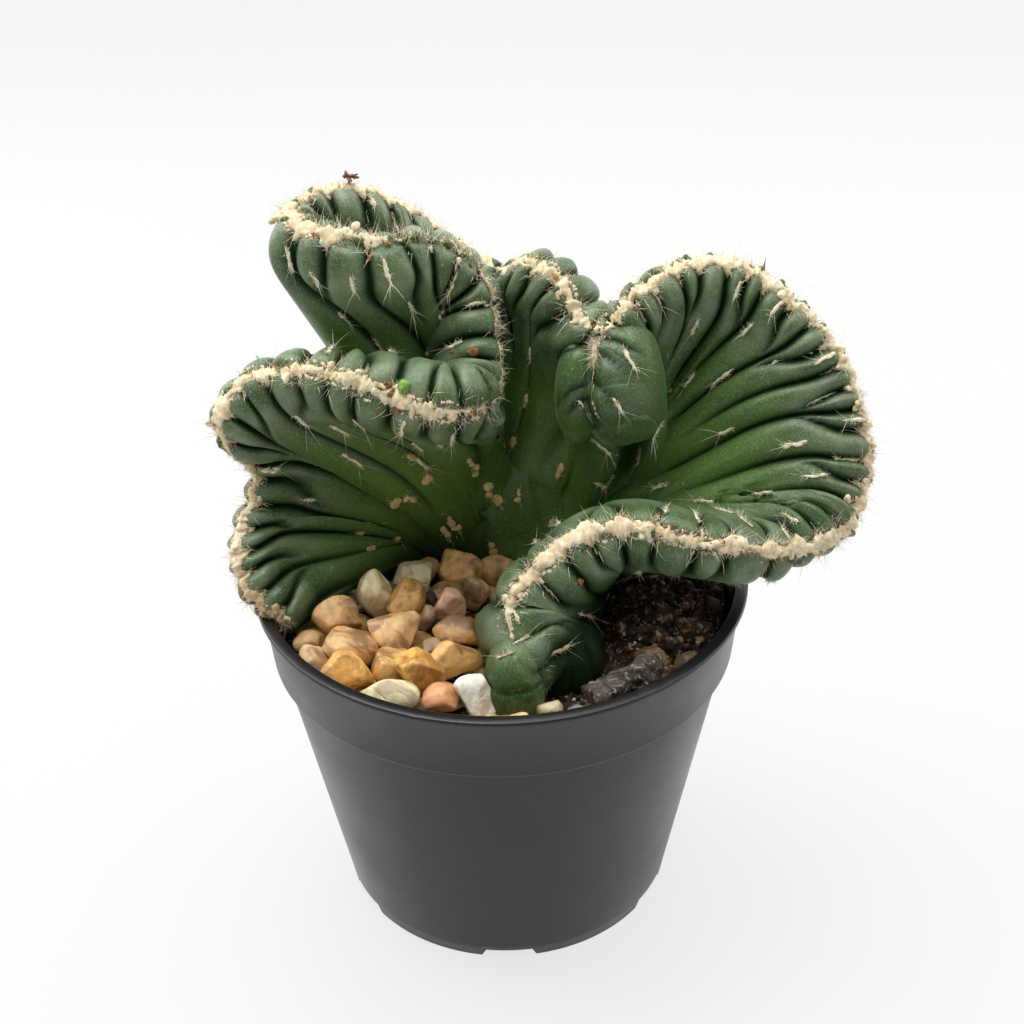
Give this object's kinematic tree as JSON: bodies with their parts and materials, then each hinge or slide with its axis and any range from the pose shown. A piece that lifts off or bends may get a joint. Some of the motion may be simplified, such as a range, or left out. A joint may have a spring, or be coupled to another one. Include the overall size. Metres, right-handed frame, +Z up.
{
  "type": "potted crested cactus",
  "caption": "Crested fan-shaped cactus with wavy ribbed folds and a woolly edge, standing in soil and gravel in a round black nursery pot.",
  "frame": {"origin": "centre of the pot's underside, on the surface that the pot stands on", "axes": "+Z up; the plant's display side with the gravel faces -Y; the big right-hand fan reaches toward +X"},
  "size_m": [0.1657, 0.12, 0.1836],
  "materials": {
    "pot_plastic": "black moulded plastic with a satin sheen, fine scratches and dust",
    "soil": "dark crumbly cactus mix with perlite specks",
    "cactus_skin": "deep green waxy skin with a grey bloom on the ribs",
    "areole_wool": "cream felted wool with fine straw-coloured spines",
    "weathered_wood": "grey-brown weathered bark",
    "pebble_pale": "cream and white tumbled gravel",
    "pebble_tan": "tan tumbled gravel with rusty bands",
    "pebble_brown": "brown tumbled gravel with darker bands",
    "pebble_orange": "orange-brown tumbled gravel",
    "pebble_dark": "dark grey lava and blue-grey stone"
  },
  "bodies": {
    "root": {"pot": "pot_plastic", "soil": "soil", "cactus_body": "cactus_skin", "crest_wool": "areole_wool", "fold_wool": "areole_wool", "twig": "weathered_wood", "pebble_01": "pebble_pale", "pebble_02": "pebble_pale", "pebble_03": "pebble_tan", "pebble_04": "pebble_brown", "pebble_05": "pebble_tan", "pebble_06": "pebble_brown", "pebble_07": "pebble_brown", "pebble_08": "pebble_dark", "pebble_09": "pebble_brown", "pebble_10": "pebble_brown", "pebble_11": "pebble_brown", "pebble_12": "pebble_tan", "pebble_13": "pebble_brown", "pebble_14": "pebble_brown", "pebble_15": "pebble_brown", "pebble_16": "pebble_tan", "pebble_17": "pebble_orange", "pebble_18": "pebble_tan", "pebble_19": "pebble_orange", "pebble_20": "pebble_brown", "pebble_21": "pebble_pale", "pebble_22": "pebble_orange", "pebble_23": "pebble_pale", "pebble_24": "pebble_brown", "pebble_25": "pebble_tan", "pebble_26": "pebble_pale", "pebble_27": "pebble_dark", "pebble_28": "pebble_tan", "pebble_29": "pebble_brown", "pebble_30": "pebble_brown"}
  },
  "joints": []
}
